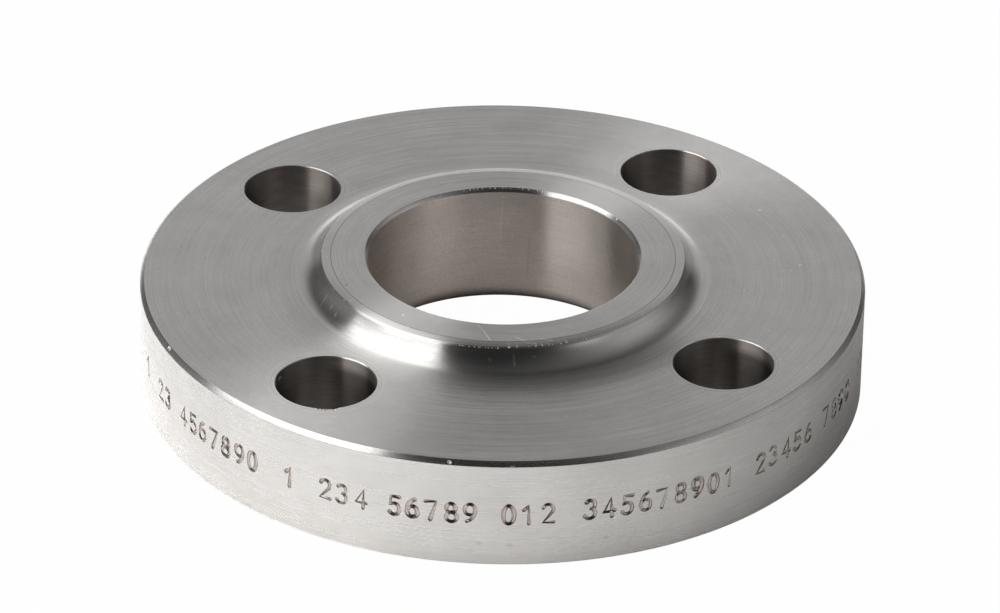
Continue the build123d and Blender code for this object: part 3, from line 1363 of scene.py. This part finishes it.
def softbox(tree, direction):
    """The softbox's light in a direction."""
    camera_lean = math.cos(CAMERA_PITCH)
    start_limit = camera_lean * math.cos(math.radians(SECTOR_START))
    end_limit = camera_lean * math.cos(math.radians(SECTOR_END))
    foot_limit = math.sin(math.radians(SOFTBOX_FOOT))
    shape = product(
        tree,
        past(tree, direction, -direction_to(SECTOR_START + 90), -start_limit, SECTOR_SOFTNESS),
        past(tree, direction, direction_to(SECTOR_END + 90), end_limit, SECTOR_SOFTNESS),
        past(tree, direction, direction_to(0, 90), foot_limit, FOOT_SOFTNESS),
        past(tree, direction, direction_to(180), SOFTBOX_SIDE, SIDE_SOFTNESS),
    )
    height = lean(tree, direction, direction_to(0, 90))
    forward = lean(tree, direction, direction_to(-90))
    foot = ease(tree, forward, *FORWARD_RANGE, SOFTBOX_FOOT_LIGHT, SOFTBOX_FRONT_FOOT_LIGHT)
    lower = ease(tree, height, *FOOT_RANGE, foot, SOFTBOX_MIDDLE_LIGHT)
    rise = SOFTBOX_TOP_LIGHT - SOFTBOX_MIDDLE_LIGHT
    upper = ease(tree, height, *TOP_RANGE, 0.0, rise)
    return product(tree, shape, maths(tree, "ADD", lower, upper))


print("the softbox lights the sectors from", SECTOR_START, "to", SECTOR_END, "degrees")

# %% [markdown]
# ## Walls and glows
# The rest of the studio is a pale wall behind the flange, which the face and the back
# of the hub mirror, and a few broad, soft glows at its sides. The front is left dark,
# and that makes the dark band on the front of the hub's root.

# %% Draw the walls and glows
WALLS = [
    {"right": 75, "left": 105, "top": 14, "softness": 0.105, "strength": 0.9},
    {"right": 60, "left": 120, "top": 45, "softness": 0.14, "strength": 0.48},
]
GLOWS = [
    {"bearing": 0, "height": 30, "tightness": 6.0, "strength": 0.35},
    {"bearing": 0, "height": 0, "tightness": 6.0, "strength": 0.2},
    {"bearing": 45, "height": 60, "tightness": 6.0, "strength": 0.06},
    {"bearing": 180, "height": 0, "tightness": 6.0, "strength": 0.22},
    {"bearing": 150, "height": 15, "tightness": 12.0, "strength": 0.12},
    {"bearing": -38, "height": 15, "tightness": 40.0, "strength": 0.6},
]


def glow_from(tree, direction, bearing, height, tightness, strength):
    """A broad, soft light from one side. The tighter it is, the smaller its spot."""
    facing = maths(tree, "MAXIMUM", lean(tree, direction, direction_to(bearing, height)), 0.0)
    return product(tree, maths(tree, "POWER", facing, tightness), strength)


def pale_wall(tree, direction, right, left, top, softness, strength):
    """A soft-edged wall between two bearings, from the floor up to a height in degrees."""
    middle = (right + left) / 2
    shape = product(
        tree,
        past(tree, direction, direction_to(right + 90), 0.0, softness),
        past(tree, direction, direction_to(left - 90), 0.0, softness),
        past(tree, direction, direction_to(middle, top - 90), 0.0, softness),
    )
    return product(tree, shape, strength)


print(len(WALLS), "walls and", len(GLOWS), "glows")

# %% [markdown]
# ## The world
# Everything above is added up as the light of the world. The camera alone sees plain
# white behind the flange. Colours are shown as they are, so the view transform is
# Standard.

# %% Light the studio
DIM_LIGHT = 0.025


def studio_world():
    """The whole studio as seen from the flange, with white behind it for the camera."""
    world = bpy.data.worlds.new("studio")
    world.use_nodes = True
    tree = world.node_tree
    tree.nodes.clear()
    direction = add_node(tree, "TexCoord").outputs["Generated"]
    light = maths(tree, "ADD", softbox(tree, direction), DIM_LIGHT)
    for wall in WALLS:
        light = maths(tree, "ADD", light, pale_wall(tree, direction, **wall))
    for glow in GLOWS:
        light = maths(tree, "ADD", light, glow_from(tree, direction, **glow))
    studio = add_node(tree, "Background", {"Color": (1, 1, 1, 1), "Strength": light})
    white = add_node(tree, "Background", {"Color": (1, 1, 1, 1), "Strength": 1.0})
    to_camera = add_node(tree, "LightPath").outputs["Is Camera Ray"]
    both = mix_shaders(tree, to_camera, studio, white)
    add_node(tree, "OutputWorld", {"Surface": both.outputs[0]})
    bpy.context.scene.world = world


bpy.context.scene.view_settings.view_transform = "Standard"
studio_world()
print("world:", len(bpy.context.scene.world.node_tree.nodes), "nodes")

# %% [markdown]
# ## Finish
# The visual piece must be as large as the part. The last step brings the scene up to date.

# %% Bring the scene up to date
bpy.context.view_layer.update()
